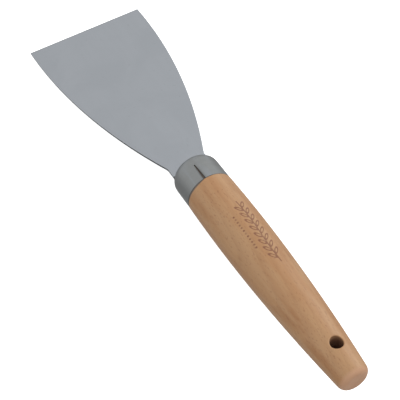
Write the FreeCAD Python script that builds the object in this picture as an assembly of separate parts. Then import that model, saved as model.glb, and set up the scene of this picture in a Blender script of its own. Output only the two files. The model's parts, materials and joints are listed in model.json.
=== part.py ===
import FreeCAD, Part
import math
import os

from FreeCAD import Vector

# A palette knife with a wide flared blade and a turned wooden handle.
#
# Frame: the origin is the centre of the hanging hole, on the handle's axis. +X runs along the
# axis to the blade's tip, +Z is up, at right angles to the flat of the blade. Millimetres.
#
# The pieces, as they come apart on a bench:
#   blade          one stamping of spring steel: spatula, neck, shoulders and hidden tang
#   ferrule        a steel cap rolled from sheet, closed at the front but for the blade's slot
#   handle         turned beech: grip, tenon under the ferrule, bore for the tang, hanging hole
#   tang_adhesive  the cured adhesive that fills the bore around the tang

# ---- driving dimensions -------------------------------------------------------------------

# Lengths along the axis.
HOLE_TO_BUTT = 14.5        # hanging hole's centre to the end of the handle
HOLE_TO_SHOULDER = 99.1    # hanging hole's centre to the shoulder that the ferrule stops at
FERRULE_LENGTH = 17.0      # shoulder to the ferrule's closed front
NECK_LENGTH = 6.1          # ferrule's front to the corner where the blade starts to flare
FLARE_LENGTH = 114.5       # that corner to the tip edge

# Blade.
TIP_WIDTH = 63.28          # width at the tip edge
SIDE_RADIUS = 297.0        # the sides bulge outwards as arcs of this radius
NECK_FILLET = 5.0          # hollow corner between the flare and the neck
BLADE_THICKNESS = 1.2      # at the neck and tang
TIP_THICKNESS = 0.6        # where the ground taper ends
BEVEL_LENGTH = 0.8         # small ground bevel along the tip, on the upper face
BEVEL_DROP = 0.25
TANG_ROOT_WIDTH = 9.0      # tang where it leaves the shoulders
TANG_END_WIDTH = 6.4
TANG_LENGTH = 52.0         # shoulders to the end of the tang
KEY_RADIUS = 0.9           # half-round notches in the tang's edges, which the adhesive fills
KEY_STATIONS = (18.0, 36.0)  # distance of each pair of notches from the shoulders

# Ferrule.
FERRULE_RADIUS = 11.36     # outside
FERRULE_WALL = 0.8
FERRULE_ROUND = 5.0        # outer rounding of the closed front
RIM_EASE = 0.15            # eased outer edge of the open rim
FERRULE_START_TURN = 0.45  # degrees from +Y at which its round surfaces start; shape unchanged
SEAM_LENGTH = 9.6          # the open part of the rolled seam, from the rim
SEAM_REAR_WIDTH = 1.0      # seam's gap at the rim
SEAM_FRONT_WIDTH = 0.5     # seam's gap where it closes
SEAM_TURN = 9.5            # degrees from +Z towards +Y

# Handle.
BELLY_RADIUS = 11.68       # thickest part of the grip
BELLY_FROM_SHOULDER = 26.0
TAPER_RADIUS = 10.81       # half way down the taper
TAPER_FROM_SHOULDER = 59.3
HOLE_STATION_RADIUS = 8.10  # grip radius at the hanging hole
BUTT_RADIUS = 6.64         # grip radius at the end, before it is rounded
BUTT_ROUND = 3.2           # rounding of the end
SHOULDER_PROUD = 0.06      # the grip stands this much proud of the ferrule
SHOULDER_EASE = 0.3        # eased edge of the grip at the ferrule
HANG_HOLE_RADIUS = 2.75
HANG_HOLE_TURN = 5.5       # degrees that the hole leans from +Z towards -Y
HANG_HOLE_EASE = 0.45      # rounding of the hanging hole's two rims

# Clearances and fits. The tenon fills the ferrule line to line: it is driven in.
NECK_SIDE_GAP = 1.0        # neck's edge to the ferrule's bore, each side
SLOT_GAP = 0.1             # ferrule's slot around the neck, each side and each face
SLOT_REACH = 1.0           # the slot runs this far past the shoulders, right through the wall
SEAT_DEPTH = 1.0           # from the ferrule's inner front face to the tenon, where shoulders seat
GLUE_LINE = 0.25           # least thickness of adhesive around the tang
BORE_SPARE = 2.0           # bore left beyond the end of the tang
DRILL_POINT_ANGLE = 118.0  # degrees, the cone that the drill leaves

# ---- places that follow from them ------------------------------------------------------------

BUTT_X = -HOLE_TO_BUTT
SHOULDER_X = HOLE_TO_SHOULDER
FERRULE_FRONT_X = SHOULDER_X + FERRULE_LENGTH
FLARE_X = FERRULE_FRONT_X + NECK_LENGTH
TIP_X = FLARE_X + FLARE_LENGTH

FERRULE_BORE_RADIUS = FERRULE_RADIUS - FERRULE_WALL
BORE_ROUND = FERRULE_ROUND - FERRULE_WALL
TENON_END_X = FERRULE_FRONT_X - FERRULE_WALL - SEAT_DEPTH
NECK_HALF_WIDTH = FERRULE_BORE_RADIUS - NECK_SIDE_GAP
TANG_END_X = TENON_END_X - TANG_LENGTH
TANG_BORE_RADIUS = math.hypot(TANG_ROOT_WIDTH / 2, BLADE_THICKNESS / 2) + GLUE_LINE
TANG_BORE_END_X = TANG_END_X - BORE_SPARE
DRILL_POINT = TANG_BORE_RADIUS / math.tan(math.radians(DRILL_POINT_ANGLE / 2))

AXIS_START = Vector(0, 0, 0)
AXIS = Vector(1, 0, 0)
MARGIN = 5.0               # how far cutting tools run past what they cut


# ---- helpers -----------------------------------------------------------------------------------

def line(a, b):
    return Part.makeLine(Vector(*a), Vector(*b))


def polygon_face(points):
    closed = [Vector(*p) for p in points] + [Vector(*points[0])]
    return Part.Face(Part.makePolygon(closed))


def turned(edges):
    """Solid of revolution about the X axis from a closed outline in the XY plane."""
    return Part.Face(Part.Wire(edges)).revolve(AXIS_START, AXIS, 360)


def rod(x_low, x_high, radius):
    return Part.makeCylinder(radius, x_high - x_low, Vector(x_low, 0, 0), AXIS)


def block(low, high):
    size = [b - a for a, b in zip(low, high)]
    return Part.makeBox(size[0], size[1], size[2], Vector(*low))


def circle_edges_at(shape, x, radius):
    """The edges that are full circles of this radius, across the axis at x."""
    found = []
    for edge in shape.Edges:
        curve = edge.Curve
        if not isinstance(curve, Part.Circle):
            continue
        if abs(curve.Center.x - x) < 1e-4 and abs(curve.Radius - radius) < 1e-4:
            found.append(edge)
    return found


def upright_edges_at(shape, x, y):
    """The edges parallel to Z that stand at (x, y) or its mirror image across the axis."""
    found = []
    for edge in shape.Edges:
        ends = [v.Point for v in edge.Vertexes]
        if all(abs(p.x - x) < 1e-4 and abs(abs(p.y) - y) < 1e-4 for p in ends):
            found.append(edge)
    return found


# ---- blade -------------------------------------------------------------------------------------

def side_arc(sign):
    """One side of the flare: an arc of SIDE_RADIUS from the neck's corner to the tip's."""
    start = Vector(FLARE_X, sign * NECK_HALF_WIDTH, 0)
    end = Vector(TIP_X, sign * TIP_WIDTH / 2, 0)
    half_chord = (end - start).Length / 2
    bulge = SIDE_RADIUS - math.sqrt(SIDE_RADIUS ** 2 - half_chord ** 2)
    along = (end - start).normalize()
    outwards = Vector(-along.y, along.x, 0) * sign
    middle = (start + end) * 0.5 + outwards * bulge
    return Part.Arc(start, middle, end).toShape()


def blade_outline():
    """The blade seen from above: tip, arched sides, neck, shoulders and tapered tang."""
    tip = TIP_WIDTH / 2
    neck = NECK_HALF_WIDTH
    root = TANG_ROOT_WIDTH / 2
    end = TANG_END_WIDTH / 2
    edges = [
        line((TIP_X, -tip, 0), (TIP_X, tip, 0)),
        side_arc(1),
        line((FLARE_X, neck, 0), (TENON_END_X, neck, 0)),
        line((TENON_END_X, neck, 0), (TENON_END_X, root, 0)),
        line((TENON_END_X, root, 0), (TANG_END_X, end, 0)),
        line((TANG_END_X, end, 0), (TANG_END_X, -end, 0)),
        line((TANG_END_X, -end, 0), (TENON_END_X, -root, 0)),
        line((TENON_END_X, -root, 0), (TENON_END_X, -neck, 0)),
        line((TENON_END_X, -neck, 0), (FLARE_X, -neck, 0)),
        side_arc(-1),
    ]
    return Part.Face(Part.Wire(Part.__sortEdges__(edges)))


def blade_side_view():
    """The blade seen edge on: even at the tang and neck, ground thinner to a bevelled tip."""
    full = BLADE_THICKNESS / 2
    thin = TIP_THICKNESS / 2
    return polygon_face([
        (TANG_END_X, 0, -full),
        (FLARE_X, 0, -full),
        (TIP_X, 0, -thin),
        (TIP_X, 0, thin - BEVEL_DROP),
        (TIP_X - BEVEL_LENGTH, 0, thin),
        (FLARE_X, 0, full),
        (TANG_END_X, 0, full),
    ])


def blade():
    plate = blade_outline().extrude(Vector(0, 0, 2 * BLADE_THICKNESS))
    plate.translate(Vector(0, 0, -BLADE_THICKNESS))
    hollows = upright_edges_at(plate, FLARE_X, NECK_HALF_WIDTH)
    plate = plate.makeFillet(NECK_FILLET, hollows)
    reach = TIP_WIDTH / 2 + MARGIN
    grinding = blade_side_view().extrude(Vector(0, 2 * reach, 0))
    grinding.translate(Vector(0, -reach, 0))
    solid = plate.common(grinding)
    for station in KEY_STATIONS:
        share = station / TANG_LENGTH
        half_width = (TANG_ROOT_WIDTH + (TANG_END_WIDTH - TANG_ROOT_WIDTH) * share) / 2
        for sign in (-1, 1):
            centre = Vector(TENON_END_X - station, sign * half_width, -BLADE_THICKNESS)
            solid = solid.cut(Part.makeCylinder(KEY_RADIUS, 2 * BLADE_THICKNESS, centre))
    return solid


# ---- ferrule -----------------------------------------------------------------------------------

def capped_tube(x_low, x_front, radius, rounding):
    """A solid rod along X whose front end, at x_front, has a rounded edge."""
    solid = rod(x_low, x_front, radius)
    return solid.makeFillet(rounding, circle_edges_at(solid, x_front, radius))


def neck_slot():
    half_width = NECK_HALF_WIDTH + SLOT_GAP
    half_height = BLADE_THICKNESS / 2 + SLOT_GAP
    return block((TENON_END_X - SLOT_REACH, -half_width, -half_height),
                 (FERRULE_FRONT_X + MARGIN, half_width, half_height))


def seam_gap():
    """A wedge through the wall alone: widest at the rim, closing towards the front."""
    rear = SEAM_REAR_WIDTH / 2
    front = SEAM_FRONT_WIDTH / 2
    widening = (rear - front) / SEAM_LENGTH * MARGIN
    height = FERRULE_BORE_RADIUS - FERRULE_WALL
    wedge = polygon_face([
        (SHOULDER_X - MARGIN, -rear - widening, height),
        (SHOULDER_X + SEAM_LENGTH, -front, height),
        (SHOULDER_X + SEAM_LENGTH, front, height),
        (SHOULDER_X - MARGIN, rear + widening, height),
    ]).extrude(Vector(0, 0, 3 * FERRULE_WALL))
    wedge.rotate(AXIS_START, AXIS, -SEAM_TURN)
    return wedge


def ferrule():
    outside = capped_tube(SHOULDER_X, FERRULE_FRONT_X, FERRULE_RADIUS, FERRULE_ROUND)
    outside = outside.makeFillet(RIM_EASE, circle_edges_at(outside, SHOULDER_X, FERRULE_RADIUS))
    outside.rotate(AXIS_START, AXIS, FERRULE_START_TURN)
    inside = capped_tube(SHOULDER_X - MARGIN, FERRULE_FRONT_X - FERRULE_WALL,
                         FERRULE_BORE_RADIUS, BORE_ROUND)
    return outside.cut(inside).cut(neck_slot()).cut(seam_gap())


# ---- handle ------------------------------------------------------------------------------------

def grip_curve():
    """The turned outline of the grip, through its stations from the butt to the shoulder."""
    stations = [
        (BUTT_X, BUTT_RADIUS),
        (0, HOLE_STATION_RADIUS),
        (SHOULDER_X - TAPER_FROM_SHOULDER, TAPER_RADIUS),
        (SHOULDER_X - BELLY_FROM_SHOULDER, BELLY_RADIUS),
        (SHOULDER_X, FERRULE_RADIUS + SHOULDER_PROUD),
    ]
    curve = Part.BSplineCurve()
    curve.interpolate([Vector(x, r, 0) for x, r in stations])
    return curve.toShape()


def grip():
    shoulder_radius = FERRULE_RADIUS + SHOULDER_PROUD
    solid = turned([
        grip_curve(),
        line((SHOULDER_X, shoulder_radius, 0), (SHOULDER_X, 0, 0)),
        line((SHOULDER_X, 0, 0), (BUTT_X, 0, 0)),
        line((BUTT_X, 0, 0), (BUTT_X, BUTT_RADIUS, 0)),
    ])
    solid = solid.makeFillet(BUTT_ROUND, circle_edges_at(solid, BUTT_X, BUTT_RADIUS))
    return solid.makeChamfer(SHOULDER_EASE, circle_edges_at(solid, SHOULDER_X, shoulder_radius))


def hanging_hole(solid):
    """Drills the hanging hole along Z, rounds its two rims, and turns all of it to its lean."""
    depth = HOLE_STATION_RADIUS + MARGIN
    drill = Part.makeCylinder(HANG_HOLE_RADIUS, 2 * depth, Vector(0, 0, -depth))
    drilled = solid.cut(drill)
    rims = []
    for edge in drilled.Edges:
        points = edge.discretize(9)
        on_wall = all(abs(math.hypot(p.x, p.y) - HANG_HOLE_RADIUS) < 1e-3 for p in points)
        if on_wall and edge.BoundBox.ZLength < HANG_HOLE_RADIUS:
            rims.append(edge)
    eased = drilled.makeFillet(HANG_HOLE_EASE, rims)
    eased.rotate(AXIS_START, AXIS, HANG_HOLE_TURN)
    return eased


def tang_bore():
    """The drilled bore that the tang and its adhesive fill, with the drill's cone at its end."""
    straight = rod(TANG_BORE_END_X, TENON_END_X, TANG_BORE_RADIUS)
    cone = Part.makeCone(0, TANG_BORE_RADIUS, DRILL_POINT,
                         Vector(TANG_BORE_END_X - DRILL_POINT, 0, 0), AXIS)
    return straight.fuse(cone).removeSplitter()


def handle():
    tenon = capped_tube(SHOULDER_X - MARGIN, TENON_END_X, FERRULE_BORE_RADIUS,
                        BORE_ROUND - SEAT_DEPTH)
    solid = grip().fuse(tenon).removeSplitter()
    return hanging_hole(solid).cut(tang_bore())


# ---- adhesive ----------------------------------------------------------------------------------

def tang_adhesive(blade_solid):
    return tang_bore().cut(blade_solid)


# ---- export ------------------------------------------------------------------------------------

def main():
    os.makedirs("parts", exist_ok=True)
    blade_solid = blade()
    pieces = {
        "blade": blade_solid,
        "ferrule": ferrule(),
        "handle": handle(),
        "tang_adhesive": tang_adhesive(blade_solid),
    }
    for name, shape in pieces.items():
        solids = shape.Solids
        solid = solids[0] if len(solids) == 1 else shape
        solid.exportStep("parts/" + name + ".step")
        box = solid.BoundBox
        print(name, "solids", len(solids), "valid", solid.isValid(),
              "volume_mm3", round(solid.Volume, 1),
              "x", round(box.XMin, 2), round(box.XMax, 2),
              "y", round(box.YMin, 2), round(box.YMax, 2),
              "z", round(box.ZMin, 2), round(box.ZMax, 2))


main()
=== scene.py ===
# %% [markdown]
# # A palette knife: flared steel blade, rolled steel ferrule, turned beech handle
#
# This file is a lesson in cells. It starts from a finished CAD frame, puts a camera, a floor and
# lights round it, models the pieces whose edges matter, and gives every piece its finish.
# Everything is in metres. +X runs from the hanging hole to the blade's tip, +Z is up from the
# flat of the blade, and the origin is the centre of the hanging hole.

# %% Load the fixed frame
import json
import math

import bmesh
import bpy
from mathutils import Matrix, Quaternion, Vector


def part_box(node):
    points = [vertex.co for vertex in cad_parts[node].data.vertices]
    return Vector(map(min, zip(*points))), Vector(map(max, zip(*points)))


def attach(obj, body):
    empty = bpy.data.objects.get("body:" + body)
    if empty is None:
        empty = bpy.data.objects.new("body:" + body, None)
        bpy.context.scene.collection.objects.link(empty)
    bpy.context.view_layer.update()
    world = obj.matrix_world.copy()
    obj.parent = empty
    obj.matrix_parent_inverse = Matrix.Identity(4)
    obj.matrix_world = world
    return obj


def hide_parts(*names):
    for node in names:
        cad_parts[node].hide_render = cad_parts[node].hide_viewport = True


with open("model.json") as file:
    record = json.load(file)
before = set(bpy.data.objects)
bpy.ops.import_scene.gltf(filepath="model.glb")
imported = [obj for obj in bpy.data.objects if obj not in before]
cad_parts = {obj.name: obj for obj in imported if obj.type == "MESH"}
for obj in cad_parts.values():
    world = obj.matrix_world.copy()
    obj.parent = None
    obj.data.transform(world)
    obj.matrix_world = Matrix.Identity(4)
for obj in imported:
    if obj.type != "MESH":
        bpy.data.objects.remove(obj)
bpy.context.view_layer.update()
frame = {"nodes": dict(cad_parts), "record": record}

MM = 0.001
blade_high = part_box("blade")[1]
ferrule_low, ferrule_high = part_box("ferrule")
handle_low, handle_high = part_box("handle")

tip_x = blade_high.x
ferrule_front_x = ferrule_high.x
shoulder_x = ferrule_low.x
ferrule_radius = ferrule_high.y
butt_x = handle_low.x
print("knife from", round(butt_x / MM, 1), "to", round(tip_x / MM, 1), "mm")

# %% [markdown]
# ## The camera
#
# A camera can be typed in as a matrix, or described as a person standing somewhere: what they
# look at, how far away they are, and how they hold the camera. The second way is easier to
# change, so it is used here. The camera looks at the place where wood meets steel, from above
# and behind the handle, and is rolled a little so that the knife crosses the picture.

# %% Camera
AIM_TO_ONE_SIDE = 5.9 * MM
AIM_BEHIND_SHOULDER = 1.0 * MM
CAMERA_DISTANCE = 0.440
CAMERA_AZIMUTH = math.radians(246.95)
CAMERA_ELEVATION = math.radians(48.97)
CAMERA_ROLL = math.radians(7.8)
CAMERA_LENS = 88.44
CAMERA_SENSOR = 36.0
NEAREST_SEEN = 0.01

towards_camera = Vector((
    math.sin(CAMERA_AZIMUTH) * math.cos(CAMERA_ELEVATION),
    -math.cos(CAMERA_AZIMUTH) * math.cos(CAMERA_ELEVATION),
    math.sin(CAMERA_ELEVATION),
))
bpy.ops.object.camera_add(location=(0, 0, 0))
camera = bpy.context.object
camera.name = "studio_camera"
camera.data.lens = CAMERA_LENS
camera.data.sensor_width = CAMERA_SENSOR
aim = Vector((shoulder_x - AIM_BEHIND_SHOULDER, AIM_TO_ONE_SIDE, 0))
camera.location = aim + towards_camera * CAMERA_DISTANCE
camera.rotation_mode = "QUATERNION"
upright = towards_camera.to_track_quat("Z", "Y")
camera.rotation_quaternion = upright @ Quaternion((0, 0, 1), -CAMERA_ROLL)
camera.data.clip_start = NEAREST_SEEN
bpy.context.scene.camera = camera
print("camera at", [round(c, 4) for c in camera.location])

# %% [markdown]
# ## The floor
#
# Laid down, the knife touches the table in two places: the lower edge of the tip, and the
# rounded front of the ferrule, because the steel blade outweighs the wood. The floor is a plane
# tilted so that it touches both. Its slope comes from the line from the tip that grazes the
# circle of the ferrule's rounding.

# %% Floor
FERRULE_ROUND = 5.0 * MM
TIP_HALF_THICKNESS = 0.3 * MM
FLOOR_SIZE = 6.0

round_centre = Vector((ferrule_front_x - FERRULE_ROUND, 0, FERRULE_ROUND - ferrule_radius))
tip_underside = Vector((tip_x, 0, -TIP_HALF_THICKNESS))
reach = (tip_underside - round_centre).length
drop = math.asin((tip_underside.z - round_centre.z) / reach)
floor_tilt = drop + math.asin(FERRULE_ROUND / reach)

bpy.ops.mesh.primitive_plane_add(size=FLOOR_SIZE, location=tip_underside,
                                 rotation=(0, -floor_tilt, 0))
floor = bpy.context.object
floor.name = "floor"
print("the floor slopes", round(math.degrees(floor_tilt), 2), "degrees")

# %% [markdown]
# ## Helpers for shader nodes
#
# A shader tree made in code soon becomes unreadable, so a few small helpers keep it short. The
# first feeds a socket: a value that is itself a socket is linked, and a number or a colour is
# typed in. Each of the others adds nodes for one small job, such as a sum, a soft step or a
# noise, and hands back the result, so that they can be written inside one another like a formula.

# %% Node helpers
def feed(tree, socket, value):
    """Links the socket to another socket, or types a number or colour into it."""
    if isinstance(value, bpy.types.NodeSocket):
        tree.links.new(value, socket)
    else:
        socket.default_value = value


def add_node(tree, kind, inputs=None, **settings):
    node = tree.nodes.new(kind)
    for name, value in settings.items():
        setattr(node, name, value)
    for name, value in (inputs or {}).items():
        feed(tree, node.inputs[name], value)
    return node


def sum_up(tree, operation, *values):
    """A Math node. Its operation is named as in Blender, such as ADD or MULTIPLY."""
    node = tree.nodes.new("ShaderNodeMath")
    node.operation = operation
    for socket, value in zip(node.inputs, values):
        feed(tree, socket, value)
    return node.outputs[0]


def length_of(tree, first, second):
    """The length of an arrow with these two parts, as Pythagoras gives it."""
    return sum_up(tree, "SQRT", sum_up(
        tree, "ADD", sum_up(tree, "MULTIPLY", first, first),
        sum_up(tree, "MULTIPLY", second, second)))


def split(tree, vector):
    """The vector's X, Y and Z outputs, by name."""
    return add_node(tree, "ShaderNodeSeparateXYZ", {0: vector}).outputs


def between(tree, value, low, high):
    """0 below low, 1 above high, and a smooth step between them."""
    node = add_node(tree, "ShaderNodeMapRange",
                    {"Value": value, "From Min": low, "From Max": high},
                    interpolation_type="SMOOTHSTEP")
    return node.outputs["Result"]


def blend_colours(tree, share, first, second):
    """The first colour where share is 0, the second where it is 1."""
    node = tree.nodes.new("ShaderNodeMix")
    node.data_type = "RGBA"
    feed(tree, node.inputs[0], share)
    feed(tree, node.inputs[6], first)
    feed(tree, node.inputs[7], second)
    return node.outputs[2]


def noise(tree, place, stretch, scale, detail=3.0, roughness=0.5):
    """Noise whose pattern is drawn out where stretch is small along an axis."""
    mapped = add_node(tree, "ShaderNodeMapping", {"Vector": place, "Scale": stretch})
    node = add_node(tree, "ShaderNodeTexNoise",
                    {"Vector": mapped.outputs[0], "Scale": scale, "Detail": detail,
                     "Roughness": roughness})
    return node.outputs["Fac"]


# %% [markdown]
# ## Helpers for groups and materials
#
# A node group is an effect with named inputs and outputs that is built once and used in several
# materials. One helper starts a group, and another places it in a material. The third starts a
# material, and the last adds a Bump node, for relief that is too shallow to be worth modelling.

# %% Group and material helpers
FLOAT = "NodeSocketFloat"
VECTOR = "NodeSocketVector"


def start_group(name, inputs, outputs):
    """A shader node group: inputs are name, socket type and default, outputs name and type."""
    tree = bpy.data.node_groups.new(name, "ShaderNodeTree")
    for label, kind, default in inputs:
        socket = tree.interface.new_socket(label, in_out="INPUT", socket_type=kind)
        if default is not None:
            socket.default_value = default
    for label, kind in outputs:
        tree.interface.new_socket(label, in_out="OUTPUT", socket_type=kind)
    given = tree.nodes.new("NodeGroupInput").outputs
    out = tree.nodes.new("NodeGroupOutput").inputs
    return tree, given, out


def place_group(tree, group, inputs):
    node = tree.nodes.new("ShaderNodeGroup")
    node.node_tree = group
    for name, value in inputs.items():
        feed(tree, node.inputs[name], value)
    return node.outputs


def start_material(name):
    """A new material, its node tree, its Principled BSDF and its Object coordinates."""
    material = bpy.data.materials.new(name)
    material.use_nodes = True
    tree = material.node_tree
    shader = tree.nodes["Principled BSDF"]
    place = tree.nodes.new("ShaderNodeTexCoord").outputs["Object"]
    return material, tree, shader, place


def bump(tree, shader, height, distance):
    node = add_node(tree, "ShaderNodeBump",
                    {"Height": height, "Strength": 1.0, "Distance": distance})
    tree.links.new(node.outputs[0], shader.inputs["Normal"])


print("helpers for", FLOAT, "and", VECTOR, "sockets are ready")

# %% [markdown]
# ## The floor's finish
#
# The floor is the opal top of a light table: pale, faintly mottled, and lit from inside, which is
# how a studio keeps shadows faint. Its glow is for the eye only. It is hidden from the rays that
# light the knife, so that the underside of the handle stays in the shade.

# %% Floor finish
FLOOR_GLOW = 0.75
OPAL_DARK = (0.88, 0.88, 0.88, 1)
OPAL_LIGHT = (0.91, 0.91, 0.91, 1)
MOTTLE_SCALE = 9.0
PITTING_SCALE = 900.0
PITTING_DEPTH = 0.05 * MM
EVERY_WAY = (1, 1, 1)              # a noise that isn't drawn out

floor_finish, tree, shader, place = start_material("opal_table_top")
mottle = noise(tree, place, EVERY_WAY, MOTTLE_SCALE)
feed(tree, shader.inputs["Base Color"], blend_colours(tree, mottle, OPAL_DARK, OPAL_LIGHT))
feed(tree, shader.inputs["Roughness"], between(tree, mottle, -1.0, 1.6))
shader.inputs["Specular IOR Level"].default_value = 0.1
shader.inputs["Emission Color"].default_value = (1, 1, 1, 1)
shader.inputs["Emission Strength"].default_value = FLOOR_GLOW
bump(tree, shader, noise(tree, place, EVERY_WAY, PITTING_SCALE), PITTING_DEPTH)
floor.data.materials.append(floor_finish)
floor.visible_diffuse = False
floor.visible_glossy = False
print("floor finish:", floor_finish.name)

# %% [markdown]
# ## Two steel effects
#
# Satin steel is ground with fine abrasive, which leaves thousands of shallow scratches that all
# run one way. Seen close they are lines, and from further away they only spread the highlight.
# The first group makes those lines from noise that is stretched along the grinding direction.
# The second makes the dull patches that fingers and wiping leave. Both are groups, because the
# blade and the ferrule share them with different values.

# %% Steel effects
BROAD_TO_FINE = 0.14     # the broad lines' scale, as a share of the fine lines'
SPECKS_TO_PATCHES = 14.0


def grinding_lines_group():
    """Lines in two widths. Stretch is small along the lines and 1 across them."""
    tree, given, out = start_group(
        "grinding_lines",
        [("Place", VECTOR, None), ("Stretch", VECTOR, (0.02, 1.0, 1.0)), ("Scale", FLOAT, 3000.0)],
        [("Height", FLOAT), ("Streaks", FLOAT)])
    mapped = add_node(tree, "ShaderNodeVectorMath", {0: given["Place"], 1: given["Stretch"]},
                      operation="MULTIPLY").outputs[0]
    fine = add_node(tree, "ShaderNodeTexNoise",
                    {"Vector": mapped, "Scale": given["Scale"], "Detail": 4.0,
                     "Roughness": 0.65}).outputs["Fac"]
    broad_scale = sum_up(tree, "MULTIPLY", given["Scale"], BROAD_TO_FINE)
    broad = add_node(tree, "ShaderNodeTexNoise",
                     {"Vector": mapped, "Scale": broad_scale, "Detail": 3.0,
                      "Roughness": 0.6}).outputs["Fac"]
    tree.links.new(fine, out["Height"])
    tree.links.new(broad, out["Streaks"])
    return tree


def handling_marks_group():
    """Soft dull patches, and a few small specks."""
    tree, given, out = start_group(
        "handling_marks",
        [("Place", VECTOR, None), ("Scale", FLOAT, 45.0)],
        [("Smudge", FLOAT), ("Specks", FLOAT)])
    cloud = add_node(tree, "ShaderNodeTexNoise",
                     {"Vector": given["Place"], "Scale": given["Scale"], "Detail": 2.5,
                      "Roughness": 0.55, "Distortion": 0.6}).outputs["Fac"]
    tree.links.new(between(tree, cloud, 0.42, 0.68), out["Smudge"])
    speck_scale = sum_up(tree, "MULTIPLY", given["Scale"], SPECKS_TO_PATCHES)
    dust = add_node(tree, "ShaderNodeTexNoise",
                    {"Vector": given["Place"], "Scale": speck_scale, "Detail": 1.0}).outputs["Fac"]
    tree.links.new(between(tree, dust, 0.70, 0.78), out["Specks"])
    return tree


grinding_lines = grinding_lines_group()
handling_marks = handling_marks_group()
print("steel groups made:", grinding_lines.name, handling_marks.name)

# %% [markdown]
# ## Satin steel
#
# The blade is stainless steel, ground flat and left satin. It is fully metallic, and its colour
# is a mid grey because brushed steel never sends back all the light. The lines run along the
# blade, and round the ferrule, which is polished as it spins. Both get dull marks and specks.

# %% Satin steel for the blade and the ferrule
GRINDING_SCALE = 2600.0
MARKS_SCALE = 42.0
SMUDGE_SHARE = 0.60          # how much of the darker steel a smudge brings in
SPECK_SHARE = 0.15
SPECK_TO_DARK = 0.6          # a speck's grey, as a share of the darker steel's
STREAK_ROUGHNESS = 0.10
SMUDGE_ROUGHNESS = 0.06


def satin_steel(name, light, dark, stretch, roughness, line_depth):
    """Starts a steel and returns its parts, so that each piece can add its own marks."""
    material, tree, shader, place = start_material(name)
    lines = place_group(tree, grinding_lines,
                        {"Place": place, "Stretch": stretch, "Scale": GRINDING_SCALE})
    marks = place_group(tree, handling_marks, {"Place": place, "Scale": MARKS_SCALE})
    streaked = blend_colours(tree, lines["Streaks"], dark, light)
    dulled = sum_up(tree, "MULTIPLY", marks["Smudge"], SMUDGE_SHARE)
    cloudy = blend_colours(tree, dulled, streaked, dark)
    specked = sum_up(tree, "MULTIPLY", marks["Specks"], SPECK_SHARE)
    darker = tuple(c * SPECK_TO_DARK for c in dark[:3]) + (1,)
    colour = blend_colours(tree, specked, cloudy, darker)
    shader.inputs["Metallic"].default_value = 1.0
    rough = sum_up(tree, "MULTIPLY_ADD", lines["Streaks"], STREAK_ROUGHNESS,
                   roughness - STREAK_ROUGHNESS / 2)
    feed(tree, shader.inputs["Roughness"],
         sum_up(tree, "MULTIPLY_ADD", marks["Smudge"], SMUDGE_ROUGHNESS, rough))
    bump(tree, shader, lines["Height"], line_depth)
    return material, tree, shader, place, colour


# %% [markdown]
# ## The blade's painted shade and darker bevel
#
# Three places on the blade are darker than its face. The sides are painted dark, as painted shade
# for the dark that they reflect; they are found by their normal, which lies flat. The small ground
# bevel along the tip is a darker grey. And where the neck leaves the ferrule, a band of painted
# shade stands for the shadow in the corner.

# %% Blade steel
BLADE_LIGHT = (0.405, 0.428, 0.458, 1)
BLADE_DARK = (0.375, 0.397, 0.425, 1)
# the sides' grey and the corner's grey below are painted shade
SIDE_SHADE_GREY = (0.085, 0.090, 0.095, 1)
BEVEL_GREY = (0.240, 0.260, 0.280, 1)
CORNER_SHADE_GREY = (0.070, 0.075, 0.080, 1)
SIDE_SHADE_SHARE = 0.85
BEVEL_SHARE = 0.75
CORNER_SHADE_SHARE = 0.90
BLADE_ROUGHNESS = 0.42
BLADE_LINE_DEPTH = 0.003 * MM
LINES_ALONG = (0.03, 1.0, 1.0)
TIP_BEVEL = 0.8 * MM

blade_steel, tree, shader, place, colour = satin_steel(
    "satin_blade_steel", BLADE_LIGHT, BLADE_DARK, LINES_ALONG, BLADE_ROUGHNESS,
    BLADE_LINE_DEPTH)
parts = split(tree, place)
facing = split(tree, tree.nodes.new("ShaderNodeTexCoord").outputs["Normal"])["Z"]
# painted shade on the sides, which face sideways, and in a band where the neck leaves the ferrule
shaded_sides = between(tree, sum_up(tree, "ABSOLUTE", facing), 0.75, 0.35)
bevelled = between(tree, parts["X"], tip_x - TIP_BEVEL * 1.15, tip_x - TIP_BEVEL * 0.9)
corner_shade = between(tree, parts["X"], ferrule_front_x + 0.75 * MM, ferrule_front_x + 0.30 * MM)
for mark, share, grey in ((bevelled, BEVEL_SHARE, BEVEL_GREY),
                          (shaded_sides, SIDE_SHADE_SHARE, SIDE_SHADE_GREY),
                          (corner_shade, CORNER_SHADE_SHARE, CORNER_SHADE_GREY)):
    colour = blend_colours(tree, sum_up(tree, "MULTIPLY", mark, share), colour, grey)
feed(tree, shader.inputs["Base Color"], colour)
print(blade_steel.name, "has", len(tree.nodes), "nodes")

# %% [markdown]
# ## The ferrule's steel
#
# The ferrule is a duller steel than the blade, with faint bluer bands along it, a painted
# reflection of the sky. Its mouth and its rim are darker, as painted shade where it meets the
# blade and the handle. Grime gathers along the open seam, which lies a few degrees to one side of
# the top. The angle round the ferrule comes from ARCTAN2, so the grime follows the curve of the steel.

# %% Ferrule steel
FERRULE_LIGHT = (0.300, 0.309, 0.310, 1)
FERRULE_DARK = (0.254, 0.264, 0.262, 1)
# a bluer grey for the painted reflection of the sky
SKY_REFLECTION_BLUE = (0.335, 0.362, 0.392, 1)
# a dark grey for the painted shade at the mouth and rim, and for the grime along the seam
SHADE_AND_GRIME_GREY = (0.10, 0.105, 0.105, 1)
FERRULE_ROUGHNESS = 0.40
FERRULE_LINE_DEPTH = 0.004 * MM
LINES_ROUND = (1.0, 0.05, 0.05)
SEAM_TURN = math.radians(9.5)
SEAM_LENGTH = 9.6 * MM
SEAM_GRIME = math.radians(6.5)     # how far round from the seam the grime reaches
MOUTH_SHADE_SHARE = 0.45
RIM_SHADE_SHARE = 0.35
GRIME_SHARE = 0.55
REFLECTION_BAND_SHARE = 0.45

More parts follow.
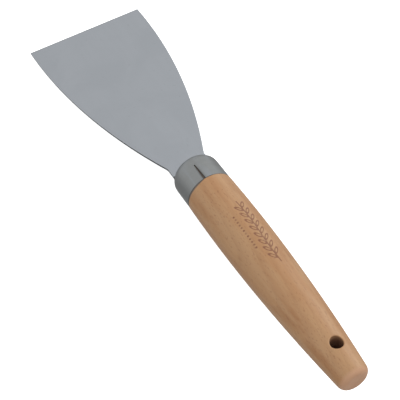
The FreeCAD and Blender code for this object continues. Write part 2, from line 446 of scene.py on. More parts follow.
ferrule_steel, tree, shader, place, colour = satin_steel(
    "satin_ferrule_steel", FERRULE_LIGHT, FERRULE_DARK, LINES_ROUND, FERRULE_ROUGHNESS,
    FERRULE_LINE_DEPTH)
parts = split(tree, place)
# painted shade: darker at the mouth, by the blade, and at the rim, by the handle
mouth_shade = between(tree, parts["X"], ferrule_front_x - 1.5 * MM, ferrule_front_x - 0.1 * MM)
rim_shade = between(tree, parts["X"], shoulder_x + 0.35 * MM, shoulder_x + 0.05 * MM)
round_angle = sum_up(tree, "ARCTAN2", parts["Y"], parts["Z"])
from_seam = sum_up(tree, "ABSOLUTE", sum_up(tree, "SUBTRACT", round_angle, SEAM_TURN))
near_seam = between(tree, from_seam, SEAM_GRIME, SEAM_GRIME * 0.3)
seam_end = between(tree, parts["X"], shoulder_x + SEAM_LENGTH + 1.5 * MM, shoulder_x + 3 * MM)
grime = sum_up(tree, "MULTIPLY", near_seam, seam_end)
shade_and_grime = sum_up(tree, "MULTIPLY", mouth_shade, MOUTH_SHADE_SHARE)
for mark, share in ((rim_shade, RIM_SHADE_SHARE), (grime, GRIME_SHARE)):
    shade_and_grime = sum_up(tree, "MAXIMUM", shade_and_grime, sum_up(tree, "MULTIPLY", mark, share))
# painted reflection: bluer bands along the ferrule
sky_reflection_bands = between(tree, noise(tree, place, (0.12, 1, 1), 240.0), 0.48, 0.66)
colour = blend_colours(tree, sum_up(tree, "MULTIPLY", sky_reflection_bands, REFLECTION_BAND_SHARE), colour, SKY_REFLECTION_BLUE)
feed(tree, shader.inputs["Base Color"], blend_colours(tree, shade_and_grime, colour, SHADE_AND_GRIME_GREY))
print(ferrule_steel.name, "has", len(tree.nodes), "nodes")

# %% [markdown]
# ## Beech
#
# Beech is a plain, even wood. Its growth rings show as soft darker bands along the handle, with
# broad brown blotches over them. Everywhere it is peppered with short brown flecks, the cut ends
# of its rays, which always lie in line with the grain. The rings are made as real rings, from the
# distance to a pith that lies outside the handle, so they also curve across the end. Clouds,
# blotches and pores are noise drawn out along the handle. The flecks are such noise too, cut off
# at a high level, which leaves only separate dashes.

# %% Wood grain effect
RING_WIDTH = 2.1 * MM
PITH_TO_ONE_SIDE = 21.0 * MM
PITH_BELOW = 13.0 * MM
RING_LEAN = 0.035            # how fast the rings drift outwards along the handle
RING_SWAY = 3.4 * MM
LATE_WOOD = 2.6              # a higher power leaves a narrower dark edge on each ring
FLECK_LEVEL = 0.715
CROWDING = 0.16              # how far that level drops where the flecks crowd


def beech_grain_group():
    tree, given, out = start_group(
        "beech_grain",
        [("Place", VECTOR, None), ("Ring Width", FLOAT, RING_WIDTH)],
        [("Rings", FLOAT), ("Clouds", FLOAT), ("Blotches", FLOAT), ("Flecks", FLOAT),
         ("Pores", FLOAT)])
    place = given["Place"]

    sway = noise(tree, place, (0.25, 1, 1), 60.0, 2.0)
    parts = split(tree, place)
    distance = length_of(tree, sum_up(tree, "ADD", parts["Y"], PITH_TO_ONE_SIDE),
                         sum_up(tree, "ADD", parts["Z"], PITH_BELOW))
    leaning = sum_up(tree, "MULTIPLY_ADD", parts["X"], RING_LEAN, distance)
    swayed = sum_up(tree, "MULTIPLY_ADD", sway, RING_SWAY, leaning)
    turn = sum_up(tree, "DIVIDE", swayed, given["Ring Width"])
    phase = sum_up(tree, "FRACT", turn)
    late = sum_up(tree, "POWER", phase, LATE_WOOD)
    fade = between(tree, phase, 1.0, 0.9)
    tree.links.new(sum_up(tree, "MULTIPLY", late, fade), out["Rings"])

    tree.links.new(noise(tree, place, (0.10, 1, 1), 230.0, 4.0, 0.6), out["Clouds"])
    stain = noise(tree, place, (0.20, 1, 1), 190.0, 4.0, 0.62)
    tree.links.new(between(tree, stain, 0.50, 0.74), out["Blotches"])

    dashes = noise(tree, place, (0.26, 1, 1), 2100.0, 1.2, 0.45)
    crowd = noise(tree, place, (0.35, 1, 1), 120.0, 1.0)
    level = sum_up(tree, "MULTIPLY_ADD", crowd, -CROWDING, FLECK_LEVEL)
    above = sum_up(tree, "SUBTRACT", dashes, level)
    tree.links.new(between(tree, above, 0.0, 0.07), out["Flecks"])

    tree.links.new(noise(tree, place, (0.035, 1, 1), 5200.0, 2.0, 0.6), out["Pores"])
    return tree


beech_grain = beech_grain_group()
print(beech_grain.name, "has", len(beech_grain.nodes), "nodes")

# %% [markdown]
# ## The burnt ornament
#
# The maker's mark on such a handle is burnt in with a hot stamp. Here a neutral ornament takes
# its place: a sprig of small leaves, and a row of dots beside it. It could be cut in the mesh,
# but a burnt line has almost no depth, so it is drawn as a mask. The mask measures along the
# handle (X) and round it (radius times the angle from the top), so the sprig wraps as a stamp
# does. A line that repeats uses the FRACT of a length, which starts again at every spacing.

# %% Helpers for the mask
def inside(tree, value, low, high):
    return sum_up(tree, "MULTIPLY", sum_up(tree, "GREATER_THAN", value, low),
                  sum_up(tree, "LESS_THAN", value, high))


def from_middle(tree, turns, spacing):
    """How far a place lies from the middle of its own spacing."""
    share = sum_up(tree, "SUBTRACT", sum_up(tree, "FRACT", turns), 0.5)
    return sum_up(tree, "MULTIPLY", share, spacing)


# %% [markdown]
# ## The stem and its leaves
#
# The stem is a line that waves slowly, and each leaf is the outline of an ellipse, which is the
# place where two shares of its half axes, squared and added, make one. The leaves on one side
# are half a spacing further on than those on the other, as on a real twig.

# %% The sprig
SPRIG_START = shoulder_x - 56.7 * MM
SPRIG_END = shoulder_x - 19.2 * MM
SPRIG_SIDE = -2.9 * MM         # how far round from the top its stem runs
STEM_WAVES = 150.0             # radians of wave in a metre of stem
STEM_PHASE = 0.6
STEM_SWING = 0.5 * MM
LEAF_SPACING = 4.1 * MM
LEAF_LONG = 1.75 * MM
LEAF_WIDE = 0.62 * MM
LEAF_OFF_STEM = 1.45 * MM
LEAF_TILT = math.radians(36)
LINE_WIDTH = 0.50 * MM
LEAVES_END = math.floor((SPRIG_END - SPRIG_START) / LEAF_SPACING)


def draw_sprig(tree, along, around):
    wave = sum_up(tree, "SINE", sum_up(tree, "MULTIPLY_ADD", along, STEM_WAVES, STEM_PHASE))
    off_stem = sum_up(tree, "SUBTRACT", sum_up(tree, "SUBTRACT", around, SPRIG_SIDE),
                      sum_up(tree, "MULTIPLY", wave, STEM_SWING))
    gap = sum_up(tree, "ABSOLUTE", off_stem)
    stem = between(tree, gap, LINE_WIDTH * 0.75, LINE_WIDTH * 0.35)
    on_stem = inside(tree, along, SPRIG_START, SPRIG_END)

    side = sum_up(tree, "GREATER_THAN", off_stem, 0.0)
    shifted = sum_up(tree, "MULTIPLY_ADD", side, LEAF_SPACING / 2, along)
    turns = sum_up(tree, "DIVIDE", sum_up(tree, "SUBTRACT", shifted, SPRIG_START), LEAF_SPACING)
    leaf_x = from_middle(tree, turns, LEAF_SPACING)
    leaf_y = sum_up(tree, "SUBTRACT", gap, LEAF_OFF_STEM)
    long_way = sum_up(tree, "ADD", sum_up(tree, "MULTIPLY", leaf_x, math.cos(LEAF_TILT)),
                      sum_up(tree, "MULTIPLY", leaf_y, math.sin(LEAF_TILT)))
    wide_way = sum_up(tree, "SUBTRACT", sum_up(tree, "MULTIPLY", leaf_y, math.cos(LEAF_TILT)),
                      sum_up(tree, "MULTIPLY", leaf_x, math.sin(LEAF_TILT)))
    outline = length_of(tree, sum_up(tree, "DIVIDE", long_way, LEAF_LONG),
                        sum_up(tree, "DIVIDE", wide_way, LEAF_WIDE))
    off_outline = sum_up(tree, "ABSOLUTE", sum_up(tree, "SUBTRACT", outline, 1.0))
    leaf = between(tree, off_outline, 0.48, 0.18)
    on_leaves = inside(tree, turns, 1.0, LEAVES_END)
    return sum_up(tree, "MAXIMUM", sum_up(tree, "MULTIPLY", stem, on_stem),
                  sum_up(tree, "MULTIPLY", leaf, on_leaves))


print("the sprig has", LEAVES_END - 1, "leaves on each side")

# %% [markdown]
# ## The dots
#
# The dots stand in one row, so each is a small disc round the middle of its own spacing.

# %% The dots
DOTS_START = shoulder_x - 46.2 * MM
DOTS_END = shoulder_x - 26.2 * MM
DOTS_SIDE = 2.6 * MM
DOT_SPACING = 1.7 * MM
DOT_RADIUS = 0.50 * MM


def draw_dots(tree, along, around):
    turns = sum_up(tree, "DIVIDE", sum_up(tree, "SUBTRACT", along, DOTS_START), DOT_SPACING)
    off_dot = length_of(tree, from_middle(tree, turns, DOT_SPACING),
                        sum_up(tree, "SUBTRACT", around, DOTS_SIDE))
    dot = between(tree, off_dot, DOT_RADIUS * 1.2, DOT_RADIUS * 0.7)
    return sum_up(tree, "MULTIPLY", dot, inside(tree, along, DOTS_START, DOTS_END))


print("a dot every", round(DOT_SPACING / MM, 1), "mm")

# %% [markdown]
# ## The mask put together
#
# The two drawings are joined by MAXIMUM. The mask then keeps to the outside of the handle, away
# from the bore, and a noise makes it uneven, as a stamp leaves it.

# %% Burnt ornament mask
SKIN = 0.7               # nearer the axis than this share of the handle is inside the wood
PATCHY_SCALE = 700.0


def burnt_sprig_group():
    tree, given, out = start_group("burnt_sprig", [("Place", VECTOR, None)], [("Burn", FLOAT)])
    parts = split(tree, given["Place"])
    angle = sum_up(tree, "ARCTAN2", parts["Y"], parts["Z"])
    radius = length_of(tree, parts["Y"], parts["Z"])
    around = sum_up(tree, "MULTIPLY", angle, radius)
    drawn = sum_up(tree, "MAXIMUM", draw_sprig(tree, parts["X"], around),
                   draw_dots(tree, parts["X"], around))
    outside = sum_up(tree, "GREATER_THAN", radius, SKIN * handle_high.y)
    uneven = noise(tree, given["Place"], EVERY_WAY, PATCHY_SCALE, 2.0)
    patchy = between(tree, uneven, 0.12, 0.50)
    tree.links.new(sum_up(tree, "MULTIPLY", sum_up(tree, "MULTIPLY", drawn, outside), patchy),
                   out["Burn"])
    return tree


burnt_sprig = burnt_sprig_group()
print("sprig", round((SPRIG_END - SPRIG_START) / MM, 1), "mm long")

# %% [markdown]
# ## The wood's colours
#
# The wood is mixed like paint, one layer over another. Each layer has a mask that says where it
# lies, a share that says how strongly it covers, and a colour. A table of layers is easier to change than a
# long chain of nodes, so the mixing is one small loop.

# %% Wood colours
LIGHT_WOOD = (0.462, 0.262, 0.124, 1)
PINK_WOOD = (0.415, 0.210, 0.088, 1)
RING_BROWN = (0.330, 0.165, 0.072, 1)
BLOTCH_BROWN = (0.345, 0.155, 0.054, 1)
FLECK_BROWN = (0.225, 0.082, 0.030, 1)
# the end grain's tone, lightened by painted light on the end of the butt
END_GRAIN_WITH_PAINTED_LIGHT = (0.620, 0.350, 0.220, 1)
BURNT = (0.150, 0.044, 0.022, 1)


def lay_over(tree, colour, layers):
    for mask, share, top in layers:
        colour = blend_colours(tree, sum_up(tree, "MULTIPLY", mask, share), colour, top)
    return colour


# %% [markdown]
# ## The hanging hole and the tenon
#
# The hole's wall is dark: brown at the rim, where the drill scorched it, and darker deeper in,
# which is painted shade. The drill leaned a little to one side, so the distance to its line is
# measured square to the axis that comes with the frame. The tenon under the ferrule is darker:
# partly a stain of steel and glue, partly painted shade seen through the seam. The darkening creeps
# out at the shoulder, further on the +Y side, which leaves a thin line of painted shade there.

# %% Masks for the hole and the tenon
HANGING_HOLE_RADIUS = 2.75 * MM
# a brown for the scorch at the hole's rim and the painted shade deeper in
SCORCH_AND_SHADE_BROWN = (0.125, 0.050, 0.026, 1)
# a grey for the stain and the painted shade on the tenon
STAIN_AND_SHADE_GREY = (0.085, 0.076, 0.068, 1)
DARK_EDGE_CREEP = 0.6 * MM             # how far the stain's edge wanders
DARK_EDGE_TO_ONE_SIDE = 0.85 * MM      # how much further it creeps on the +Y side

hole_axis = Vector(frame["record"]["mounts"][0]["axis"])


def hole_masks(tree, parts):
    """1 in the hole, and a second mask for scorch and painted shade, which grows with the depth."""
    across = sum_up(tree, "SUBTRACT", sum_up(tree, "MULTIPLY", parts["Y"], hole_axis.z),
                    sum_up(tree, "MULTIPLY", parts["Z"], hole_axis.y))
    from_hole = length_of(tree, parts["X"], across)
    in_hole = between(tree, from_hole, HANGING_HOLE_RADIUS + 0.25 * MM, HANGING_HOLE_RADIUS)
    # painted shade: the hole is darker deeper in
    depth = between(tree, sum_up(tree, "ABSOLUTE", parts["Z"]), 7.3 * MM, 4.8 * MM)
    scorch_and_shade = sum_up(tree, "MULTIPLY", in_hole, sum_up(tree, "MULTIPLY_ADD", depth, 0.35, 0.50))
    return in_hole, scorch_and_shade


# painted shade, with some stain: the tenon seen through the seam, and a thin line at the shoulder
def tenon_stain_and_shade_mask(tree, place, parts):
    creep = noise(tree, place, EVERY_WAY, 260.0, 2.0)
    crept = sum_up(tree, "MULTIPLY_ADD", creep, DARK_EDGE_CREEP, parts["X"])
    sideways = between(tree, parts["Y"], 0.5 * MM, 6.5 * MM)
    crept = sum_up(tree, "MULTIPLY_ADD", sideways, DARK_EDGE_TO_ONE_SIDE, crept)
    return between(tree, crept, shoulder_x + 0.05 * MM, shoulder_x + 0.25 * MM)


print("the hanging hole leans", round(math.degrees(math.asin(abs(hole_axis.y))), 1), "degrees")

# %% [markdown]
# ## Lacquered beech
#
# The handle's finish puts the grain, the ornament and the two dark places together. Over the
# last few millimetres of the butt the wood turns lighter and pinker: partly the end grain's own
# tone, partly painted light for the light that the end face lacks. A thin satin lacquer lies over
# it all, except in the hole. Pores, flecks and burnt lines sink in a little.

# %% Beech finish
BEECH_RELIEF = 0.05 * MM
LACQUER = 0.15
LACQUER_ROUGHNESS = 0.32


def lacquered_beech():
    material, tree, shader, place = start_material("lacquered_beech")
    grain = place_group(tree, beech_grain, {"Place": place})
    marks = place_group(tree, burnt_sprig, {"Place": place})
    parts = split(tree, place)
    pores = between(tree, grain["Pores"], 0.5, 0.8)
    near_end = between(tree, parts["X"], butt_x + 2.6 * MM, butt_x + 0.6 * MM)
    in_hole, scorch_and_shade = hole_masks(tree, parts)
    tenon_stain_and_shade = tenon_stain_and_shade_mask(tree, place, parts)

    clouded = between(tree, grain["Clouds"], 0.35, 0.68)
    wood = lay_over(tree, blend_colours(tree, clouded, LIGHT_WOOD, PINK_WOOD), (
        (grain["Blotches"], 0.72, BLOTCH_BROWN),
        (grain["Rings"], 0.30, RING_BROWN),
        (pores, 0.25, RING_BROWN),
        (grain["Flecks"], 0.42, FLECK_BROWN),
        # painted light over the end grain's tone at the end of the butt
        (near_end, 0.60, END_GRAIN_WITH_PAINTED_LIGHT),
        (marks["Burn"], 0.70, BURNT),
        (scorch_and_shade, 1.0, SCORCH_AND_SHADE_BROWN),
        (tenon_stain_and_shade, 0.85, STAIN_AND_SHADE_GREY)))
    feed(tree, shader.inputs["Base Color"], wood)

    rough = sum_up(tree, "MULTIPLY_ADD", grain["Clouds"], 0.12, 0.40)
    for mask, more in ((in_hole, 0.4), (marks["Burn"], 0.2)):
        rough = sum_up(tree, "MULTIPLY_ADD", mask, more, rough)
    feed(tree, shader.inputs["Roughness"], rough)
    feed(tree, shader.inputs["Coat Weight"],
         sum_up(tree, "MULTIPLY_ADD", in_hole, -LACQUER, LACQUER))
    shader.inputs["Coat Roughness"].default_value = LACQUER_ROUGHNESS

    relief = sum_up(tree, "MULTIPLY_ADD", pores, -0.35, 1.0)
    for mask, sunk in ((grain["Flecks"], -0.12), (marks["Burn"], -1.0)):
        relief = sum_up(tree, "MULTIPLY_ADD", mask, sunk, relief)
    bump(tree, shader, relief, BEECH_RELIEF)
    return material


beech = lacquered_beech()
print(beech.name, "has", len(beech.node_tree.nodes), "nodes")

# %% [markdown]
# ## The hidden adhesive
#
# The tang sits in cured epoxy inside the handle. Nobody sees it unless the handle is cut open,
# but the piece is there, so it gets an honest finish: amber, cloudy and a little glossy.

# %% Adhesive finish
AMBER_DARK = (0.42, 0.30, 0.13, 1)
AMBER_LIGHT = (0.60, 0.48, 0.26, 1)
CLOUD_SCALE = 300.0
CLOUD_RELIEF = 0.05 * MM


def cured_adhesive():
    material, tree, shader, place = start_material("cured_adhesive")
    cloud = noise(tree, place, EVERY_WAY, CLOUD_SCALE)
    feed(tree, shader.inputs["Base Color"],
         blend_colours(tree, cloud, AMBER_DARK, AMBER_LIGHT))
    feed(tree, shader.inputs["Roughness"], sum_up(tree, "MULTIPLY_ADD", cloud, 0.2, 0.2))
    bump(tree, shader, cloud, CLOUD_RELIEF)
    return material


adhesive_finish = cured_adhesive()
print("adhesive finish:", adhesive_finish.name)

# %% [markdown]
# ## Modelling by operator
#
# Everything that is done by hand in edit mode can be done in code with the same operators. Only
# the clicking is different: a face or an edge is picked by its place or by the way it faces.
# A few helpers do what is done again and again: picking, extruding and scaling in one go, adding
# a modifier and applying it straight away, cutting one shape from another, and smooth shading.

# %% Modelling helpers
NEAR = 0.01 * MM         # two places nearer than this count as the same
FLAT_ABOVE = 50          # degrees: an edge sharper than this keeps its crease


def pick(piece, kind, test):
    """In edit mode, selects the vertices, edges or faces that pass the test."""
    bpy.ops.mesh.select_mode(type=kind)
    bpy.ops.mesh.select_all(action="DESELECT")
    mesh = bmesh.from_edit_mesh(piece.data)
    items = {"VERT": mesh.verts, "EDGE": mesh.edges, "FACE": mesh.faces}[kind]
    picked = [item for item in items if test(item)]
    for item in picked:
        item.select_set(True)
    mesh.select_flush_mode()
    bmesh.update_edit_mesh(piece.data)
    return len(picked)


def grow(step, scale, centre):
    """Extrudes what is selected along X, then scales its new end about a centre."""
    bpy.ops.mesh.extrude_region_move(TRANSFORM_OT_translate={"value": (step, 0, 0)})
    bpy.ops.transform.resize(value=scale, center_override=centre)


def use_modifier(piece, kind, **settings):
    """Adds a modifier to the active piece and applies it."""
    modifier = piece.modifiers.new(kind.lower(), kind)
    for name, value in settings.items():
        setattr(modifier, name, value)
    bpy.ops.object.modifier_apply(modifier=modifier.name)


def cut_away(piece, cutter):
    """Subtracts the cutter from the piece, then throws the cutter away."""
    bpy.ops.object.select_all(action="DESELECT")
    piece.select_set(True)
    bpy.context.view_layer.objects.active = piece
    use_modifier(piece, "BOOLEAN", object=cutter, operation="DIFFERENCE", solver="EXACT")
    bpy.data.objects.remove(cutter, do_unlink=True)


def is_crease(edge, degrees):
    """Whether the faces on the two sides of an edge meet at more than this angle."""
    return len(edge.link_faces) == 2 and edge.calc_face_angle() > math.radians(degrees)


def smooth(piece):
    """Smooth shading with flat faces kept flat, as their normals weigh most."""
    bpy.ops.object.shade_smooth_by_angle(angle=math.radians(FLAT_ABOVE))
    use_modifier(piece, "WEIGHTED_NORMAL", weight=100, keep_sharp=True)


# %% [markdown]
# ## The blade
#
# The real blade is one piece of spring steel: cut to its outline, tapered in thickness by
# grinding, and given a tang that goes into the handle. Each side of it is one long arc, joined to
# the straight neck by a small fillet. One could trace such an outline by eye, but worked out from
# its radii it stays true when a size is changed. So a small function gives the width at any
# place, and another the thickness.

# %% The blade's outline
NECK_HALF_WIDTH = 9.56 * MM
NECK_HALF_THICKNESS = 0.6 * MM
NECK_LENGTH = 6.1 * MM
NECK_FILLET = 5.0 * MM
SIDE_RADIUS = 297.0 * MM
TIP_CORNER_Y = 31.64 * MM

flare_x = ferrule_front_x + NECK_LENGTH
neck_corner = Vector((flare_x, NECK_HALF_WIDTH))
tip_corner = Vector((tip_x, TIP_CORNER_Y))
chord = tip_corner - neck_corner
inwards = Vector((chord.y, -chord.x)).normalized()
arc_depth = math.sqrt(SIDE_RADIUS ** 2 - (chord.length / 2) ** 2)
arc_centre = (neck_corner + tip_corner) / 2 + inwards * arc_depth
fillet_y = NECK_HALF_WIDTH + NECK_FILLET
fillet_span = math.sqrt((SIDE_RADIUS + NECK_FILLET) ** 2 - (fillet_y - arc_centre.y) ** 2)
fillet_start = arc_centre.x - fillet_span
fillet_end = arc_centre.x - fillet_span * SIDE_RADIUS / (SIDE_RADIUS + NECK_FILLET)


def half_width(x):
    if x <= fillet_start:
        return NECK_HALF_WIDTH
    if x < fillet_end:
        return fillet_y - math.sqrt(NECK_FILLET ** 2 - (x - fillet_start) ** 2)
    return arc_centre.y + math.sqrt(SIDE_RADIUS ** 2 - (x - arc_centre.x) ** 2)


def half_thickness(x):
    share = (x - flare_x) / (tip_x - TIP_BEVEL - flare_x)
    share = min(max(share, 0.0), 1.0)
    return NECK_HALF_THICKNESS + share * (TIP_HALF_THICKNESS - NECK_HALF_THICKNESS)


print("fillet from", round(fillet_start / MM, 2), "to", round(fillet_end / MM, 2), "mm")

# %% [markdown]
# ## The neck and the flare
#
# The neck starts as a cube. Its front face is extruded again and again, and each new end is
# scaled to the width and thickness that belong there, as one does by hand along a guide. The
# steps are shorter in the fillet, where the outline turns fastest. Last, the upper edge of the
# tip is pushed down, which leaves the small bevel that is ground there.

# %% The blade's neck and flare
FILLET_STEPS = 7
FLARE_STEPS = 26
BEFORE_BEVEL = 0.15 * MM     # a last step just before the bevel keeps its crease crisp
BEVEL_DROP = 0.25 * MM

bpy.ops.object.select_all(action="DESELECT")
neck_start = handle_high.x
bpy.ops.mesh.primitive_cube_add(
    size=1, location=((neck_start + fillet_start) / 2, 0, 0),
    scale=(fillet_start - neck_start, 2 * NECK_HALF_WIDTH, 2 * NECK_HALF_THICKNESS))
blade = bpy.context.object
blade.name = "flared_blade"
bpy.ops.object.transform_apply(location=True, rotation=True, scale=True)

bevel_start = tip_x - TIP_BEVEL
stations = []
for step in range(1, FILLET_STEPS + 1):
    stations.append(fillet_start + (fillet_end - fillet_start) * step / FILLET_STEPS)
for step in range(1, FLARE_STEPS + 1):
    stations.append(fillet_end + (bevel_start - BEFORE_BEVEL - fillet_end) * step / FLARE_STEPS)
stations.append(bevel_start)
stations.append(tip_x)

bpy.ops.object.mode_set(mode="EDIT")
pick(blade, "FACE", lambda face: face.normal.x > 0.9)
last = fillet_start
for x in stations:
    wider = half_width(x) / half_width(last)
    thinner = half_thickness(x) / half_thickness(last)
    grow(x - last, (1, wider, thinner), (x, 0, 0))
    last = x

pick(blade, "VERT", lambda vert: vert.co.x > tip_x - NEAR and vert.co.z > 0)
bpy.ops.transform.translate(value=(0, 0, -BEVEL_DROP))
print("blade has", len(bmesh.from_edit_mesh(blade.data).faces), "faces so far")

# %% [markdown]
# ## The tang
#
# The tang is narrower than the neck, which leaves two shoulders. The neck's back face is cut in
# three by two planes, and only its middle is extruded. Four half-round notches in the tang's
# edges are what the adhesive grips, and they are cut with small rods.

# %% Tang and notches
TANG_ROOT_HALF_WIDTH = 4.5 * MM
TANG_END_HALF_WIDTH = 3.2 * MM
TANG_LENGTH = 52.0 * MM
NOTCH_RADIUS = 0.9 * MM
NOTCH_STATIONS = (18.0 * MM, 36.0 * MM)
NOTCH_ROD_LENGTH = 4 * MM
MERGE_WITHIN = 0.001 * MM

for side in (1, -1):
    pick(blade, "FACE", lambda face: face.normal.x < -0.9)
    bpy.ops.mesh.bisect(plane_co=(neck_start, side * TANG_ROOT_HALF_WIDTH, 0),
                        plane_no=(0, 1, 0))
pick(blade, "FACE", lambda face: face.normal.x < -0.9
     and abs(face.calc_center_median().y) < TANG_END_HALF_WIDTH)
grow(-TANG_LENGTH, (1, TANG_END_HALF_WIDTH / TANG_ROOT_HALF_WIDTH, 1),
     (neck_start - TANG_LENGTH, 0, 0))
bpy.ops.mesh.select_all(action="SELECT")
bpy.ops.mesh.remove_doubles(threshold=MERGE_WITHIN)
bpy.ops.mesh.normals_make_consistent(inside=False)
bpy.ops.object.mode_set(mode="OBJECT")

for station in NOTCH_STATIONS:
    for side in (1, -1):
        share = station / TANG_LENGTH
        edge_y = TANG_ROOT_HALF_WIDTH + share * (TANG_END_HALF_WIDTH - TANG_ROOT_HALF_WIDTH)
        bpy.ops.mesh.primitive_cylinder_add(
            vertices=32, radius=NOTCH_RADIUS, depth=NOTCH_ROD_LENGTH,
            location=(neck_start - station, side * edge_y, 0))
        cut_away(blade, bpy.context.object)
print("tang", round(TANG_LENGTH / MM, 1), "mm long, with", 2 * len(NOTCH_STATIONS), "notches")

# %% [markdown]
# ## Eased edges
#
# No edge on a real blade is perfectly sharp, except where it is honed. A bevel a tenth of a
# millimetre wide along the outline catches a thin line of light, and that line is most of what
# makes steel look like steel. The hidden tang keeps its plain edges. A Bevel modifier would ease
# every edge alike, so the edges are picked and bevelled in edit mode.

# %% Ease the blade's edges
EASE = 0.10 * MM
EASE_STARTS = 0.5 * MM       # in front of the shoulders
BLADE_CREASE = 35            # degrees

bpy.ops.object.mode_set(mode="EDIT")
eased = pick(blade, "EDGE", lambda edge: is_crease(edge, BLADE_CREASE)
             and min(vert.co.x for vert in edge.verts) > neck_start + EASE_STARTS)
bpy.ops.mesh.bevel(offset=EASE, segments=2, affect="EDGES")
bpy.ops.object.mode_set(mode="OBJECT")
smooth(blade)
blade.data.materials.clear()
blade.data.materials.append(blade_steel)
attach(blade, "root")
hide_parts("blade")
print("eased", eased, "edges, and the blade has", len(blade.data.polygons), "faces")

# %% [markdown]
# ## The ferrule
#
# A ferrule like this is a strip rolled into a tube, so a seam shows on top, and its front is
# spun over until only a slot for the blade is left. It starts as a circle. The circle is
# extruded into the tube, drawn in ring by ring round the front edge, and filled. At first it has
# no thickness, because a surface is easier to open for the seam than a solid wall.

# %% The ferrule's shell
RING_POINTS = 96
ROUND_RINGS = 8

bpy.ops.object.select_all(action="DESELECT")
bpy.ops.mesh.primitive_circle_add(vertices=RING_POINTS, radius=ferrule_radius,
                                  location=(shoulder_x, 0, 0), rotation=(0, math.pi / 2, 0))
ferrule = bpy.context.object
ferrule.name = "rolled_ferrule"
bpy.ops.object.transform_apply(location=True, rotation=True, scale=True)
bpy.ops.object.mode_set(mode="EDIT")
bpy.ops.mesh.select_mode(type="EDGE")
bpy.ops.mesh.select_all(action="SELECT")
round_start = ferrule_front_x - FERRULE_ROUND
rings = [(shoulder_x + SEAM_LENGTH, ferrule_radius), (round_start, ferrule_radius)]
for ring in range(1, ROUND_RINGS + 1):
    turn = math.pi / 2 * ring / ROUND_RINGS
    rings.append((round_start + FERRULE_ROUND * math.sin(turn),
                  ferrule_radius - FERRULE_ROUND * (1 - math.cos(turn))))
last_x, last_radius = shoulder_x, ferrule_radius
for x, radius in rings:
    shrink = radius / last_radius
    grow(x - last_x, (1, shrink, shrink), (x, 0, 0))
    last_x, last_radius = x, radius
bpy.ops.mesh.edge_face_add()
print("ferrule from", round(shoulder_x / MM, 2), "to", round(last_x / MM, 2), "mm")

# %% [markdown]
# ## The seam
#
# The seam is open from the rim to a little past half way, and wider at the rim. It lies a few
# degrees to one side of the top. The strip of faces nearest to it goes, and then the edges of
# the gap are moved until it has its two widths.

# %% Open the seam
SEAM_REAR_WIDTH = 1.0 * MM
SEAM_FRONT_WIDTH = 0.5 * MM


def off_seam(point):
    """How far round from the seam a point lies, in radians."""
    return math.atan2(point.y, point.z) - SEAM_TURN


half_strip = math.pi / RING_POINTS
pick(ferrule, "FACE", lambda face: abs(off_seam(face.calc_center_median())) < half_strip
     and face.calc_center_median().x < shoulder_x + SEAM_LENGTH)
bpy.ops.mesh.delete(type="FACE")
for x, width in ((shoulder_x, SEAM_REAR_WIDTH), (shoulder_x + SEAM_LENGTH, SEAM_FRONT_WIDTH)):
    for side in (1, -1):
        pick(ferrule, "VERT", lambda vert: abs(vert.co.x - x) < NEAR
             and 0 < side * off_seam(vert.co) < 2 * half_strip)
        mesh = bmesh.from_edit_mesh(ferrule.data)
        start = [off_seam(vert.co) for vert in mesh.verts if vert.select][0]
        goal = side * width / 2 / ferrule_radius
        bpy.ops.transform.rotate(value=goal - start, orient_axis="X",
                                 center_override=(x, 0, 0))
print("seam from", round(SEAM_REAR_WIDTH / MM, 2), "to", round(SEAM_FRONT_WIDTH / MM, 2), "mm")

# %% [markdown]
# ## The wall, the rims and the slot
#
# A Solidify modifier gives the surface its wall, inwards, so that the outside keeps its size. The
# rim and the seam's edges are then eased a little, as they are after deburring. The slot for the
# blade is cut out of the front with a flat box, because its corners stay square that way.

# %% Wall, rims and slot
WALL = 0.8 * MM
SLOT_HALF_WIDTH = 9.66 * MM
SLOT_HALF_HEIGHT = 0.7 * MM
SLOT_CUTTER = 4 * WALL       # deep enough to go through the front
RIM_EASE = 0.12 * MM
RIM_CREASE = 60              # degrees
PAST_SEAM = 1 * MM

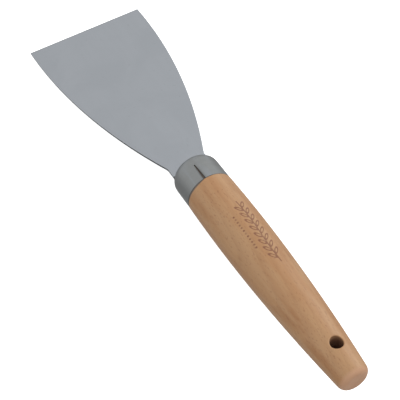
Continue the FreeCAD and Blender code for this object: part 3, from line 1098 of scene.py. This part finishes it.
bpy.ops.mesh.select_all(action="SELECT")
bpy.ops.mesh.normals_make_consistent(inside=False)
bpy.ops.object.mode_set(mode="OBJECT")
use_modifier(ferrule, "SOLIDIFY", thickness=WALL, offset=-1, use_even_offset=True)
bpy.ops.object.mode_set(mode="EDIT")
pick(ferrule, "EDGE", lambda edge: is_crease(edge, RIM_CREASE)
     and min(vert.co.x for vert in edge.verts) < shoulder_x + SEAM_LENGTH + PAST_SEAM)
bpy.ops.mesh.bevel(offset=RIM_EASE, segments=2, affect="EDGES")
bpy.ops.object.mode_set(mode="OBJECT")
bpy.ops.mesh.primitive_cube_add(size=1, location=(ferrule_front_x, 0, 0),
                                scale=(SLOT_CUTTER, 2 * SLOT_HALF_WIDTH, 2 * SLOT_HALF_HEIGHT))
cut_away(ferrule, bpy.context.object)
smooth(ferrule)
ferrule.data.materials.clear()
ferrule.data.materials.append(ferrule_steel)
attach(ferrule, "root")
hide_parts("ferrule")
print("ferrule has", len(ferrule.data.polygons), "faces")

# %% [markdown]
# ## Finishes on the frame's own pieces
#
# A piece from the frame keeps its mesh. Its look changes by putting another material in its
# object's material slots.

# %% Finishes on the CAD pieces
def finish_cad_piece(node, material):
    piece = frame["nodes"][node]
    if not piece.material_slots:
        piece.data.materials.append(material)
    for held in piece.material_slots:
        held.link = "OBJECT"
        held.material = material


finish_cad_piece("handle", beech)
finish_cad_piece("tang_adhesive", adhesive_finish)
print("finished the handle and the adhesive")

# %% [markdown]
# ## Light
#
# The knife lies in a bright, soft tent: even white above, darker below the table's edge. One
# large panel to one side makes the handle round. Metal shows whatever it faces, so the tent's
# evenness is what keeps the blade one quiet grey.

# %% Light
PANEL_PLACE = (0.05, -0.85, 0.60)
PANEL_SIZE = 0.9
PANEL_POWER = 4.4
SKY = 0.87
BELOW = 0.45
DARK_UNDER = -0.25           # heights in the tent between which it changes
LIGHT_OVER = 0.20

middle = Vector(((butt_x + tip_x) / 2, 0, 0))
bpy.ops.object.light_add(type="AREA", location=PANEL_PLACE)
panel = bpy.context.object
panel.name = "key_panel"
panel.data.shape = "SQUARE"
panel.data.size = PANEL_SIZE
panel.data.energy = PANEL_POWER
panel.rotation_mode = "QUATERNION"
panel.rotation_quaternion = (Vector(PANEL_PLACE) - middle).to_track_quat("Z", "Y")

world = bpy.data.worlds.new("white_tent")
world.use_nodes = True
tree = world.node_tree
direction = tree.nodes.new("ShaderNodeTexCoord").outputs["Generated"]
over = between(tree, split(tree, direction)["Z"], DARK_UNDER, LIGHT_OVER)
tent = blend_colours(tree, over, (BELOW, BELOW, BELOW, 1), (SKY, SKY, SKY, 1))
feed(tree, tree.nodes["Background"].inputs["Color"], tent)
bpy.context.scene.world = world
bpy.context.scene.view_settings.view_transform = "Standard"
print("the tent goes from", BELOW, "below to", SKY, "above")
